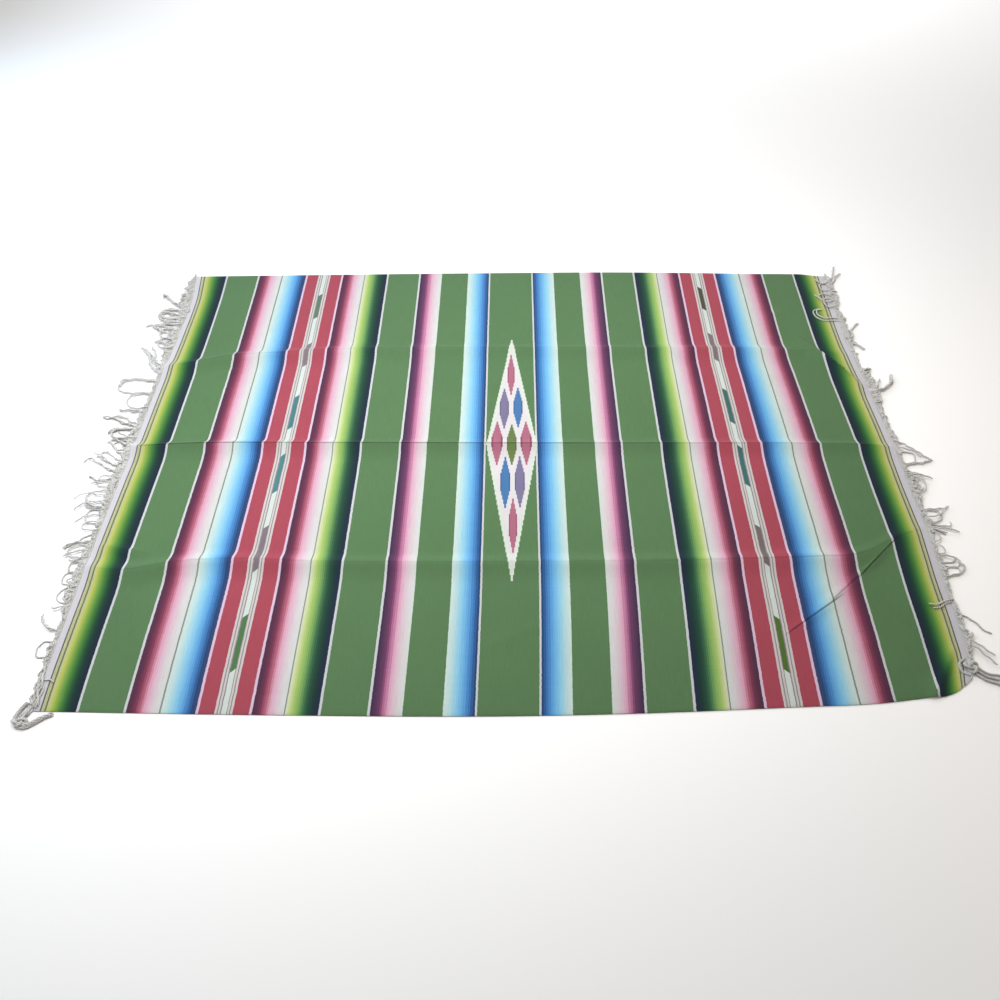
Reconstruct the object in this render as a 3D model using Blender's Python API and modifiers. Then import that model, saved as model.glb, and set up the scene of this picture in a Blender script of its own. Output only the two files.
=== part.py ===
"""A Mexican serape laid out flat: one striped woven panel with plain end headings, warp fringe
and two knotted front corners.

Metres, +Z up. The stripes run along Y, the long side of the cloth lies along X, and the
underside rests on z = 0, with the origin under the middle of the whole object. The cloth was
folded in four, so three creases run along its length as low hollow ridges. Every cloth point is
worked out from its place on the flat cut panel: u along the length from the panel's middle, v
across the width from its middle.
"""
import math
from collections import namedtuple

import bmesh
import bpy

OBJECT_NAME = "mexican_serape"

# Driving sizes of the cut cloth.
PANEL_LENGTH = 2.116
PANEL_WIDTH = 1.555
CLOTH_THICKNESS = 0.002
HEADING_WIDTH = 0.026
HEADING_THICKNESS = 0.0025
FRINGE_THICKNESS = 0.005
SEAM_GAP = 0.0003

HALF_LENGTH = PANEL_LENGTH / 2
HALF_WIDTH = PANEL_WIDTH / 2
QUARTER_FOLD = PANEL_WIDTH / 4

# How far each selvedge lies inside the cut line. along is -1 at the left end and 1 at the right.
Selvedge = namedtuple("Selvedge", "along back_inset front_inset")
SELVEDGES = (
    Selvedge(-1.00, 0.010, 0.006),
    Selvedge(-0.50, 0.005, 0.000),
    Selvedge(0.00, 0.002, 0.000),
    Selvedge(0.30, 0.002, 0.007),
    Selvedge(0.60, 0.009, 0.018),
    Selvedge(0.80, 0.016, 0.027),
    Selvedge(0.90, 0.018, 0.043),
    Selvedge(0.95, 0.020, 0.058),
    Selvedge(1.00, 0.030, 0.085),
)

# How far each end is pulled along X. across is -1 at the front selvedge and 1 at the back.
EndDrift = namedtuple("EndDrift", "across left right")
END_DRIFTS = (
    EndDrift(-1.00, 0.004, -0.040),
    EndDrift(-0.90, 0.000, -0.030),
    EndDrift(-0.78, -0.003, -0.018),
    EndDrift(-0.62, -0.004, -0.008),
    EndDrift(-0.45, -0.005, 0.002),
    EndDrift(-0.20, -0.004, -0.003),
    EndDrift(0.00, -0.002, 0.002),
    EndDrift(0.25, -0.003, -0.004),
    EndDrift(0.36, -0.003, -0.008),
    EndDrift(0.52, -0.001, -0.017),
    EndDrift(0.75, -0.005, -0.016),
    EndDrift(1.00, -0.008, -0.013),
)

# The fold creases, as hollow ridges along the length. run is the width of each flank.
Crease = namedtuple("Crease", "v left_height right_height front_run back_run")
CREASES = (
    Crease(QUARTER_FOLD, 0.013, 0.011, 0.060, 0.030),
    Crease(0.0, 0.014, 0.010, 0.060, 0.030),
    Crease(-QUARTER_FOLD, 0.011, 0.008, 0.055, 0.028),
)

# Short slanting wrinkles from one point to another, fading at both ends. The flanks are named
# as seen when walking from the start to the end.
Wrinkle = namedtuple("Wrinkle", "start_u start_v end_u end_v height left_run right_run")
WRINKLES = (
    Wrinkle(0.62, -0.62, 1.02, -0.31, 0.008, 0.026, 0.040),
    Wrinkle(0.86, 0.41, 1.050, 0.26, 0.021, 0.026, 0.070),
    Wrinkle(0.95, -0.80, 1.05, -0.66, 0.010, 0.036, 0.030),
    Wrinkle(-1.04, -0.45, -0.94, -0.36, 0.007, 0.026, 0.034),
)

# Reach of the fringe past the headings.
FringeReach = namedtuple("FringeReach", "across left right")
FRINGE_REACHES = (
    FringeReach(-1.00, 0.014, 0.060),
    FringeReach(-0.88, 0.016, 0.072),
    FringeReach(-0.80, 0.036, 0.068),
    FringeReach(-0.60, 0.042, 0.030),
    FringeReach(-0.52, 0.060, 0.062),
    FringeReach(-0.38, 0.080, 0.078),
    FringeReach(-0.15, 0.092, 0.074),
    FringeReach(-0.05, 0.108, 0.080),
    FringeReach(0.08, 0.100, 0.026),
    FringeReach(0.30, 0.108, 0.064),
    FringeReach(0.38, 0.040, 0.030),
    FringeReach(0.52, 0.084, 0.046),
    FringeReach(0.65, 0.104, 0.054),
    FringeReach(0.80, 0.086, 0.020),
    FringeReach(0.88, 0.040, 0.018),
    FringeReach(1.00, 0.014, 0.050),
)

# Columns of the panel's faces, closer together where the right end is wrinkled.
PLAIN_COLUMN_STEP = 0.060
WRINKLED_COLUMN_STEP = 0.026
WRINKLED_FROM = 0.62
# Rows, as parts of a crease's flank, and the widest step between them.
FLANK_STATIONS = (0.25, 0.60, 1.0)
PLAIN_ROW_STEP = 0.13
WRINKLED_ROW_STEP = 0.030
WRINKLED_ROWS = ((-0.78, -0.31), (0.26, 0.43))

# The fringe ends short of the right corner, where its strands are gathered in the knot.
FringeEnds = namedtuple("FringeEnds", "front_v back_v")
FRINGE_ENDS = {
    "left": FringeEnds(-HALF_WIDTH, HALF_WIDTH),
    "right": FringeEnds(-0.729, HALF_WIDTH),
}

# Corner knots: squat balls with a flat base.
Knot = namedtuple("Knot", "name x y long wide high")
KNOTS = (
    Knot("knot_front_left", -1.088, -0.788, 0.040, 0.030, 0.013),
    Knot("knot_front_right", 1.075, -0.672, 0.034, 0.040, 0.014),
)
KNOT_SIDES = 16
KNOT_RINGS = 10
KNOT_BASE_SHARE = 0.72

# Colours, roughness.
CLOTH_GREEN = (0.10, 0.22, 0.10, 1.0)
HEADING_WHITE = (0.55, 0.54, 0.58, 1.0)
FRINGE_GREY = (0.42, 0.41, 0.40, 1.0)
CLOTH_ROUGHNESS = 0.92


def between(table, key, column, value):
    """Read a column of a table at a value of its key column, in straight steps."""
    rows = sorted(table, key=lambda row: getattr(row, key))
    if value <= getattr(rows[0], key):
        return getattr(rows[0], column)
    for low, high in zip(rows, rows[1:]):
        if value <= getattr(high, key):
            span = getattr(high, key) - getattr(low, key)
            share = (value - getattr(low, key)) / span
            return getattr(low, column) * (1 - share) + getattr(high, column) * share
    return getattr(rows[-1], column)


def lie(u, v):
    """The place on the floor of the cut cloth's point u, v."""
    along = u / HALF_LENGTH
    across = v / HALF_WIDTH
    side = "left" if along < 0 else "right"
    x = u + between(END_DRIFTS, "across", side, across) * min(along * along, 1.0)
    inset = between(SELVEDGES, "along", "back_inset" if across > 0 else "front_inset", along)
    y = v * (1 - inset / HALF_WIDTH)
    return x, y


def flank(distance, run):
    """Share of a ridge's height at a distance from its crest: a crisp top and a soft foot."""
    if distance >= run:
        return 0.0
    return (1 - distance / run) ** 2


def crease_height(crease, u, v):
    share = (u / HALF_LENGTH + 1) / 2
    height = crease.left_height * (1 - share) + crease.right_height * share
    offset = v - crease.v
    run = crease.back_run if offset > 0 else crease.front_run
    return height * flank(abs(offset), run)


def wrinkle_height(wrinkle, u, v):
    along_u = wrinkle.end_u - wrinkle.start_u
    along_v = wrinkle.end_v - wrinkle.start_v
    length = math.hypot(along_u, along_v)
    share = ((u - wrinkle.start_u) * along_u + (v - wrinkle.start_v) * along_v) / length ** 2
    if share <= 0 or share >= 1:
        return 0.0
    offset = ((v - wrinkle.start_v) * along_u - (u - wrinkle.start_u) * along_v) / length
    run = wrinkle.left_run if offset > 0 else wrinkle.right_run
    return wrinkle.height * math.sin(math.pi * share) * flank(abs(offset), run)


def rise(u, v):
    """Height of the cloth's underside over the floor."""
    heights = [crease_height(crease, u, v) for crease in CREASES]
    heights += [wrinkle_height(wrinkle, u, v) for wrinkle in WRINKLES]
    return max(heights)


def even_stations(start, end, widest_step):
    """Evenly spaced places from start up to, not including, end."""
    count = max(1, math.ceil((end - start) / widest_step - 1e-6))
    return [start + (end - start) * index / count for index in range(count)]


def panel_columns():
    plain = even_stations(-HALF_LENGTH, WRINKLED_FROM, PLAIN_COLUMN_STEP)
    wrinkled = even_stations(WRINKLED_FROM, HALF_LENGTH, WRINKLED_COLUMN_STEP)
    return plain + wrinkled + [HALF_LENGTH]


def panel_rows():
    """Rows on each crease and its flanks, then the gaps between them filled evenly."""
    fixed = [-HALF_WIDTH, HALF_WIDTH]
    for crease in CREASES:
        fixed.append(crease.v)
        fixed += [crease.v - crease.front_run * station for station in FLANK_STATIONS]
        fixed += [crease.v + crease.back_run * station for station in FLANK_STATIONS]
    fixed.sort()
    rows = []
    for start, end in zip(fixed, fixed[1:]):
        middle = (start + end) / 2
        wrinkled = any(low < middle < high for low, high in WRINKLED_ROWS)
        rows += even_stations(start, end, WRINKLED_ROW_STEP if wrinkled else PLAIN_ROW_STEP)
    return rows + [HALF_WIDTH]


def cloth_material(name, colour):
    material = bpy.data.materials.new(name)
    material.use_nodes = True
    shader = material.node_tree.nodes["Principled BSDF"]
    shader.inputs["Base Color"].default_value = colour
    shader.inputs["Roughness"].default_value = CLOTH_ROUGHNESS
    shader.inputs["Metallic"].default_value = 0.0
    material.diffuse_color = colour
    return material


def add_object(name, mesh, material, collection):
    made = bpy.data.objects.new(name, mesh)
    mesh.materials.append(material)
    collection.objects.link(made)
    return made


def sheet_mesh(name, columns, rows, point):
    """An open sheet: a grid whose vertices are moved to point(column, row)."""
    shape = bmesh.new()
    bmesh.ops.create_grid(shape, x_segments=len(columns) - 1, y_segments=len(rows) - 1, size=1.0)
    last_column = len(columns) - 1
    last_row = len(rows) - 1
    for vertex in shape.verts:
        column = columns[round((vertex.co.x + 1) / 2 * last_column)]
        row = rows[round((vertex.co.y + 1) / 2 * last_row)]
        vertex.co = point(column, row)
    mesh = bpy.data.meshes.new(name)
    shape.to_mesh(mesh)
    shape.free()
    return mesh


def add_wall(made, thickness):
    """Give an open sheet its thickness upwards, so that its underside stays where it is."""
    wall = made.modifiers.new("wall", "SOLIDIFY")
    wall.thickness = thickness
    wall.offset = 1.0
    wall.use_even_offset = True


def build_web(collection):
    def point(u, v):
        x, y = lie(u, v)
        return x, y, rise(u, v)

    mesh = sheet_mesh("web", panel_columns(), panel_rows(), point)
    web = add_object("web", mesh, cloth_material("striped_weave", CLOTH_GREEN), collection)
    add_wall(web, CLOTH_THICKNESS)


def end_point(side, reach, v, fade=1.0):
    """A point past an end of the panel: side is -1 left or 1 right, reach in metres."""
    u = side * (HALF_LENGTH + reach)
    x, y = lie(u, v)
    return x, y, rise(u, v) * fade


def build_heading(side_name, side, material, collection):
    name = "heading_" + side_name
    reaches = sorted((SEAM_GAP, SEAM_GAP + HEADING_WIDTH), reverse=side < 0)
    mesh = sheet_mesh(name, reaches, panel_rows(), lambda reach, v: end_point(side, reach, v))
    add_wall(add_object(name, mesh, material, collection), HEADING_THICKNESS)


def build_fringe(side_name, side, material, collection):
    """A slab of the fringe's reach, which comes down off the creases to the floor."""
    name = "fringe_" + side_name
    inner = 2 * SEAM_GAP + HEADING_WIDTH
    shares = sorted((0.0, 0.45, 1.0), reverse=side < 0)

    def point(share, v):
        reach = between(FRINGE_REACHES, "across", side_name, v / HALF_WIDTH)
        return end_point(side, inner + share * reach, v, max(0.0, 1 - share / 0.45))

    ends = FRINGE_ENDS[side_name]
    rows = [v for v in panel_rows() if ends.front_v < v < ends.back_v]
    mesh = sheet_mesh(name, shares, [ends.front_v] + rows + [ends.back_v], point)
    add_wall(add_object(name, mesh, material, collection), FRINGE_THICKNESS)


def build_knot(knot, material, collection):
    """A squat ball cut flat underneath, so that it rests on the floor."""
    shape = bmesh.new()
    bmesh.ops.create_uvsphere(shape, u_segments=KNOT_SIDES, v_segments=KNOT_RINGS, radius=0.5)
    cut = -KNOT_BASE_SHARE / 2
    everything = shape.verts[:] + shape.edges[:] + shape.faces[:]
    bmesh.ops.bisect_plane(
        shape, geom=everything, plane_co=(0, 0, cut), plane_no=(0, 0, -1), clear_outer=True
    )
    rim = [edge for edge in shape.edges if edge.is_boundary]
    bmesh.ops.contextual_create(shape, geom=rim)
    stretch = knot.high / (0.5 - cut)
    for vertex in shape.verts:
        vertex.co.x = knot.x + vertex.co.x * knot.long
        vertex.co.y = knot.y + vertex.co.y * knot.wide
        vertex.co.z = (vertex.co.z - cut) * stretch
    bmesh.ops.recalc_face_normals(shape, faces=shape.faces)
    mesh = bpy.data.meshes.new(knot.name)
    shape.to_mesh(mesh)
    shape.free()
    add_object(knot.name, mesh, material, collection)


def centre_on_floor(collection):
    """Move every mesh so that the origin is under the middle of the object's box."""
    bpy.context.view_layer.update()
    graph = bpy.context.evaluated_depsgraph_get()
    corners = [corner for made in collection.objects for corner in made.evaluated_get(graph).bound_box]
    middle_x = (min(corner[0] for corner in corners) + max(corner[0] for corner in corners)) / 2
    middle_y = (min(corner[1] for corner in corners) + max(corner[1] for corner in corners)) / 2
    for made in collection.objects:
        for vertex in made.data.vertices:
            vertex.co.x -= middle_x
            vertex.co.y -= middle_y


def main():
    for old in list(bpy.data.objects):
        bpy.data.objects.remove(old)
    collection = bpy.data.collections.new(OBJECT_NAME)
    bpy.context.scene.collection.children.link(collection)

    build_web(collection)
    for side_name, side in (("left", -1), ("right", 1)):
        heading = cloth_material("heading_" + side_name + "_cotton", HEADING_WHITE)
        build_heading(side_name, side, heading, collection)
        fringe = cloth_material("fringe_" + side_name + "_cotton", FRINGE_GREY)
        build_fringe(side_name, side, fringe, collection)
    for knot in KNOTS:
        build_knot(knot, cloth_material(knot.name + "_cotton", FRINGE_GREY), collection)
    centre_on_floor(collection)


main()
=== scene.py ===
"""The looks of the mexican serape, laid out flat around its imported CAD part.

Metres, +Z up. Every point of the cloth comes from its place on the flat cut panel: u along the
length from the panel's middle, v across the width from its middle. lie() gives that point's
place on the floor and rise() its height, as in the CAD part, and the finer folds are added to
them. The weave's colours and relief read u and v from each piece's own UV map.
"""
import math
from collections import namedtuple

import bpy
import numpy as np
from mathutils import Matrix, Vector


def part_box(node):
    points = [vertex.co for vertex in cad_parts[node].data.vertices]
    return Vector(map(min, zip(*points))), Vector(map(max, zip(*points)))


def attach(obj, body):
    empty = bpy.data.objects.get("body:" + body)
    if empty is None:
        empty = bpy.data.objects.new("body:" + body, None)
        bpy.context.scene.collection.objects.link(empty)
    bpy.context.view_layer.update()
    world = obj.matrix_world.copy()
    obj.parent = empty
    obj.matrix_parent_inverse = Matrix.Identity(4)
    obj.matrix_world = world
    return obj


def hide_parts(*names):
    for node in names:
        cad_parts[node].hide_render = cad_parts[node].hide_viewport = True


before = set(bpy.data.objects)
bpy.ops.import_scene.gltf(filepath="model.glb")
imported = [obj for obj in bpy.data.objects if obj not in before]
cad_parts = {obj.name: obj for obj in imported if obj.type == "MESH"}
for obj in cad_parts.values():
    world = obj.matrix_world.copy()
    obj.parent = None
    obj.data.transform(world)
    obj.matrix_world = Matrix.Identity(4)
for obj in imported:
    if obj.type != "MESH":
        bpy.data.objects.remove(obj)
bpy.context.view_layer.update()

# Sizes of the cut cloth, as in the CAD part.
PANEL_LENGTH = 2.116
PANEL_WIDTH = 1.555
CLOTH_THICKNESS = 0.002
HEADING_WIDTH = 0.026
HEADING_THICKNESS = 0.0025
SEAM_GAP = 0.0003
HALF_LENGTH = PANEL_LENGTH / 2
HALF_WIDTH = PANEL_WIDTH / 2
QUARTER_FOLD = PANEL_WIDTH / 4

# The CAD part was moved so that its origin is under its middle. A corner knot says how far.
LEFT_KNOT_X = -1.088
LEFT_KNOT_Y = -0.788
knot_low, knot_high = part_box("knot_front_left")
SHIFT_X = (knot_low[0] + knot_high[0]) / 2 - LEFT_KNOT_X
SHIFT_Y = (knot_low[1] + knot_high[1]) / 2 - LEFT_KNOT_Y


def table_of(kind, *rows):
    """A table with a name for each column."""
    return tuple(kind(*row) for row in rows)


# How far each selvedge lies inside the cut line. along is -1 at the left end and 1 at the right.
Selvedge = namedtuple("Selvedge", "along back_inset front_inset")
SELVEDGES = table_of(
    Selvedge,
    (-1.00, 0.010, 0.006), (-0.50, 0.005, 0.000), (0.00, 0.002, 0.000), (0.30, 0.002, 0.008),
    (0.60, 0.009, 0.022), (0.80, 0.016, 0.033), (0.90, 0.018, 0.045), (0.95, 0.020, 0.050),
    (1.00, 0.030, 0.070), (1.025, 0.032, 0.088),
)

# How far each end is pulled along X. across is -1 at the front selvedge and 1 at the back.
EndDrift = namedtuple("EndDrift", "across left right")
END_DRIFTS = table_of(
    EndDrift,
    (-1.00, 0.004, -0.014), (-0.90, 0.000, -0.013), (-0.78, -0.003, -0.009), (-0.62, -0.004, -0.006),
    (-0.45, -0.005, 0.002), (-0.20, -0.004, 0.001), (0.00, -0.002, 0.002), (0.25, -0.003, -0.004),
    (0.36, -0.003, -0.008), (0.52, -0.001, -0.017), (0.75, -0.005, -0.016), (1.00, -0.008, -0.013),
)

# How far the last few centimetres of each end are tucked along X, besides its drift.
EndTuck = namedtuple("EndTuck", "across left right")
END_TUCKS = table_of(
    EndTuck,
    (-1.00, 0.000, -0.024), (-0.91, 0.000, -0.010), (-0.82, 0.001, -0.008), (-0.40, 0.000, -0.0065),
    (0.00, 0.000, -0.006), (0.30, 0.001, -0.006), (0.50, 0.003, -0.004), (0.62, 0.005, -0.004),
    (0.75, 0.008, -0.004), (0.86, 0.006, -0.003), (0.93, 0.000, -0.003), (1.00, -0.006, -0.002),
)
TUCK_POWER = 12

# How far the front selvedge is pulled along X. The pull fades out towards the front crease.
EdgePull = namedtuple("EdgePull", "along pull")
EDGE_PULLS = table_of(
    EdgePull,
    (-1.00, 0.000), (-0.60, -0.001), (-0.35, -0.004), (0.00, -0.005), (0.20, -0.010), (0.52, -0.011),
    (0.64, -0.007), (0.75, -0.002), (0.85, 0.000), (1.00, 0.000),
)
PULL_FROM = 0.58
PULL_POWER = 1.3

# The fold creases, as hollow ridges along the length. Each wanders off its rest line v towards
# the ends, through points of its own. run is the width of each flank, and crest is how far the
# top is rounded.
# At each point, mark is how dark the painted shade line along the crest is.
CreasePoint = namedtuple("CreasePoint", "u v height mark")
Crease = namedtuple("Crease", "v front_run back_run crest points")
CREASES = (
    Crease(
        v=QUARTER_FOLD,
        front_run=0.060,
        back_run=0.030,
        crest=0.009,
        points=table_of(
            CreasePoint,
            (-1.084, 0.322, 0.007, 0.1), (-0.980, 0.338, 0.012, 0.4), (-0.870, 0.366, 0.013, 0.3),
            (-0.720, 0.376, 0.013, 0.3), (-0.600, 0.388, 0.012, 0.2), (-0.300, 0.396, 0.009, 0.1),
            (0.000, 0.394, 0.010, 0.1), (0.400, 0.389, 0.010, 0.2), (0.800, 0.389, 0.009, 0.2),
            (0.930, 0.386, 0.004, 0.2), (1.084, 0.372, 0.002, 0.0),
        ),
    ),
    Crease(
        v=0.0,
        front_run=0.060,
        back_run=0.030,
        crest=0.0015,
        points=table_of(
            CreasePoint,
            (-1.084, -0.006, 0.010, 0.6), (-0.950, 0.000, 0.014, 1.0), (-0.500, 0.002, 0.014, 0.9),
            (0.000, 0.000, 0.013, 1.0), (0.500, 0.000, 0.011, 0.6), (0.850, -0.002, 0.010, 0.5),
            (1.000, -0.006, 0.008, 0.4), (1.084, -0.014, 0.004, 0.2),
        ),
    ),
    Crease(
        v=-QUARTER_FOLD,
        front_run=0.055,
        back_run=0.028,
        crest=0.010,
        points=table_of(
            CreasePoint,
            (-1.084, -0.400, 0.004, 0.1), (-0.990, -0.412, 0.008, 0.3), (-0.850, -0.389, 0.012, 0.3),
            (-0.400, -0.387, 0.010, 0.2), (0.000, -0.386, 0.009, 0.2), (0.500, -0.387, 0.009, 0.3),
            (0.780, -0.383, 0.009, 0.5), (0.880, -0.378, 0.007, 0.4), (0.940, -0.356, 0.005, 0.3),
            (0.985, -0.332, 0.005, 0.4), (1.084, -0.310, 0.001, 0.1),
        ),
    ),
)
# A crease that wanders takes the rows of cloth within this distance along.
CREASE_PULL = 0.16

# Slanting wrinkles from one point to another, fading at both ends. The flanks are named as seen
# when walking from the start to the end, and mark is how dark the painted shade line on the crest is.
Wrinkle = namedtuple("Wrinkle", "start_u start_v end_u end_v height left_run right_run mark")
WRINKLES = table_of(
    Wrinkle,
    (0.620, -0.630, 1.030, -0.310, 0.0035, 0.016, 0.045, 0.0),
    (0.650, -0.603, 0.824, -0.488, 0.0055, 0.010, 0.028, 1.5),
    (0.782, -0.512, 0.872, -0.438, 0.0050, 0.010, 0.026, 0.9),
    (0.862, -0.452, 1.000, -0.324, 0.0065, 0.010, 0.030, 1.6),
    (0.915, 0.463, 1.085, 0.198, 0.0200, 0.022, 0.070, 0.0),
    (0.950, -0.800, 1.050, -0.660, 0.0100, 0.036, 0.030, 0.0),
    (-1.070, -0.338, -0.920, -0.362, 0.0080, 0.018, 0.030, 0.2),
    (-0.920, 0.280, -0.820, 0.330, 0.0040, 0.012, 0.030, 0.1),
    (-0.100, -0.630, 0.130, -0.530, 0.0015, 0.020, 0.040, 0.0),
    (0.800, 0.520, 0.950, 0.620, 0.0020, 0.020, 0.040, 0.0),
)

# How far the tangled base of the fringe comes past each heading.
Tangle = namedtuple("Tangle", "v left right")
TANGLES = table_of(
    Tangle,
    (-0.775, 0.012, 0.006), (-0.700, 0.010, 0.008), (-0.650, 0.014, 0.012), (-0.600, 0.008, 0.010),
    (-0.550, 0.008, 0.006), (-0.500, 0.018, 0.007), (-0.450, 0.026, 0.014), (-0.400, 0.019, 0.008),
    (-0.350, 0.014, 0.006), (-0.300, 0.012, 0.020), (-0.250, 0.014, 0.010), (-0.200, 0.019, 0.019),
    (-0.150, 0.022, 0.030), (-0.100, 0.027, 0.013), (-0.050, 0.022, 0.006), (0.000, 0.027, 0.015),
    (0.050, 0.022, 0.013), (0.100, 0.014, 0.012), (0.150, 0.012, 0.018), (0.200, 0.009, 0.026),
    (0.250, 0.008, 0.027), (0.300, 0.008, 0.007), (0.350, 0.018, 0.006), (0.400, 0.030, 0.012),
    (0.450, 0.031, 0.023), (0.500, 0.038, 0.015), (0.550, 0.024, 0.023), (0.600, 0.031, 0.009),
    (0.650, 0.036, 0.023), (0.700, 0.031, 0.019), (0.740, 0.022, 0.018), (0.775, 0.006, 0.010),
)

# The camera stands in front of the cloth and looks down at it. Turns are in degrees.
CAMERA_PLACE = (0.0048, -1.3145, 1.5866)
CAMERA_TURN = 1.7095
CAMERA_TILT = 35.3815
CAMERA_ROLL = -1.4606
CAMERA_SENSOR = 0.036
CAMERA_LENS = 0.02599
MILLIMETRE = 0.001


def add_camera():
    data = bpy.data.cameras.new("camera")
    data.sensor_width = CAMERA_SENSOR / MILLIMETRE
    data.lens = CAMERA_LENS / MILLIMETRE
    camera = bpy.data.objects.new("camera", data)
    turn = Matrix.Rotation(math.radians(CAMERA_TURN), 4, "Z")
    tilt = Matrix.Rotation(math.radians(CAMERA_TILT), 4, "X")
    roll = Matrix.Rotation(math.radians(CAMERA_ROLL), 4, "Z")
    place = Vector(CAMERA_PLACE) + Vector((SHIFT_X, SHIFT_Y, 0))
    camera.matrix_world = Matrix.Translation(place) @ turn @ tilt @ roll
    bpy.context.scene.collection.objects.link(camera)
    bpy.context.scene.camera = camera


# ---------------------------------------------------------------------------- the cloth's form


def curve(marks, slopes, low, share, span):
    """A share of the way from mark low to the next one, on a curve with a slope at each mark."""
    rest = 1 - share
    ends = marks[low] * (1 + 2 * share) * rest**2 + marks[low + 1] * (3 - 2 * share) * share**2
    bends = slopes[low] * share * rest**2 - slopes[low + 1] * share**2 * rest
    return ends + bends * span


def between(table, key, column, values):
    """Read a column of a table at values of its key column, along a smooth curve."""
    keys = np.array([getattr(row, key) for row in table])
    marks = np.array([getattr(row, column) for row in table])
    slopes = np.gradient(marks, keys)
    low = np.clip(np.searchsorted(keys, values) - 1, 0, len(keys) - 2)
    span = keys[low + 1] - keys[low]
    share = np.clip((values - keys[low]) / span, 0, 1)
    return curve(marks, slopes, low, share, span)


def end_pull(table, u, across):
    """What a table gives for the end of the cloth that u is nearer."""
    left = between(table, "across", "left", across)
    right = between(table, "across", "right", across)
    return np.where(u < 0, left, right)


def ease(share):
    """A share from 0 to 1, changing slowly at both ends."""
    return share * share * (3 - 2 * share)


def lie(u, v):
    """The place on the floor of the cut cloth's points u, v."""
    along = u / HALF_LENGTH
    across = v / HALF_WIDTH
    near_end = np.minimum(np.abs(along), 1)
    x = u + end_pull(END_DRIFTS, u, across) * near_end**2
    x += end_pull(END_TUCKS, u, across) * near_end**TUCK_POWER
    near_front = np.clip((-across - PULL_FROM) / (1 - PULL_FROM), 0, 1)
    x += between(EDGE_PULLS, "along", "pull", along) * near_front**PULL_POWER
    back_inset = between(SELVEDGES, "along", "back_inset", along)
    front_inset = between(SELVEDGES, "along", "front_inset", along)
    y = v * (1 - np.where(v > 0, back_inset, front_inset) / HALF_WIDTH)
    return x + SHIFT_X, y + SHIFT_Y


def flank(distance, run):
    """Share of a ridge's height at a distance from its crest, with a soft foot."""
    return np.clip(1 - distance / run, 0, 1) ** 2


def crease_line(crease, u):
    """Where a crease runs at u."""
    return between(crease.points, "u", "v", u)


def crease_height(crease, u, v):
    height = between(crease.points, "u", "height", u)
    offset = v - crease_line(crease, u)
    run = np.where(offset > 0, crease.back_run, crease.front_run)
    return height * flank(np.hypot(offset, crease.crest) - crease.crest, run)


def follow_creases(u, rows):
    """Cut places v of the sheet's rows: rows near a crease wander with it."""
    v = rows.copy()
    for crease in CREASES:
        share = np.clip(1 - np.abs(rows - crease.v) / CREASE_PULL, 0, 1)
        v += (crease_line(crease, u) - crease.v) * ease(share)
    return v


def crease_shade_lines(u, v):
    """Distance behind the nearest crease's crest, and how dark its painted shade line is there."""
    offsets = np.stack([v - crease_line(crease, u) for crease in CREASES])
    marks = np.stack([between(crease.points, "u", "mark", u) for crease in CREASES])
    nearest = np.abs(offsets).argmin(axis=0)[None]
    return np.take_along_axis(offsets, nearest, 0)[0], np.take_along_axis(marks, nearest, 0)[0]


def wrinkle_place(wrinkle, u, v):
    """How far along a wrinkle u, v is, as a share of it, and how far to its left."""
    along_u = wrinkle.end_u - wrinkle.start_u
    along_v = wrinkle.end_v - wrinkle.start_v
    length = math.hypot(along_u, along_v)
    from_u = u - wrinkle.start_u
    from_v = v - wrinkle.start_v
    share = (from_u * along_u + from_v * along_v) / length**2
    return share, (from_v * along_u - from_u * along_v) / length


def wrinkle_height(wrinkle, u, v):
    share, offset = wrinkle_place(wrinkle, u, v)
    run = np.where(offset > 0, wrinkle.left_run, wrinkle.right_run)
    swell = np.sin(math.pi * np.clip(share, 0, 1))
    return wrinkle.height * swell * flank(np.abs(offset), run)


def rise(u, v):
    """Height of the cloth's underside over the floor."""
    heights = [crease_height(crease, u, v) for crease in CREASES]
    heights += [wrinkle_height(wrinkle, u, v) for wrinkle in WRINKLES]
    return np.maximum.reduce(heights)


# ---------------------------------------------------------------------------- shader helpers


def maths_of(operation, swapped=False):
    """A method of Socket that works on it and at most one other value, with a Math node."""

    def combine(socket, *others):
        values = (*others, socket) if swapped else (socket, *others)
        return socket.maths(operation, *values)

    return combine


class Socket:
    """An output of a shader node, for use in Python expressions, which add Math nodes."""

    def __init__(self, finish, output):
        self.finish = finish
        self.output = output

    def maths(self, operation, *values):
        settings = {"operation": operation}
        return self.finish.add("ShaderNodeMath", settings, dict(enumerate(values)))

    def part(self, name):
        """Another output of the same node."""
        return Socket(self.finish, self.output.node.outputs[name])

    __add__ = __radd__ = maths_of("ADD")
    __sub__ = maths_of("SUBTRACT")
    __rsub__ = maths_of("SUBTRACT", swapped=True)
    __mul__ = __rmul__ = maths_of("MULTIPLY")
    __truediv__ = maths_of("DIVIDE")
    __lt__ = maths_of("LESS_THAN")
    __gt__ = maths_of("GREATER_THAN")
    __abs__ = maths_of("ABSOLUTE")
    floor = maths_of("FLOOR")
    sine = maths_of("SINE")

    def limited(self):
        """The same value, kept between 0 and 1."""
        self.output.node.use_clamp = True
        return self


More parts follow.
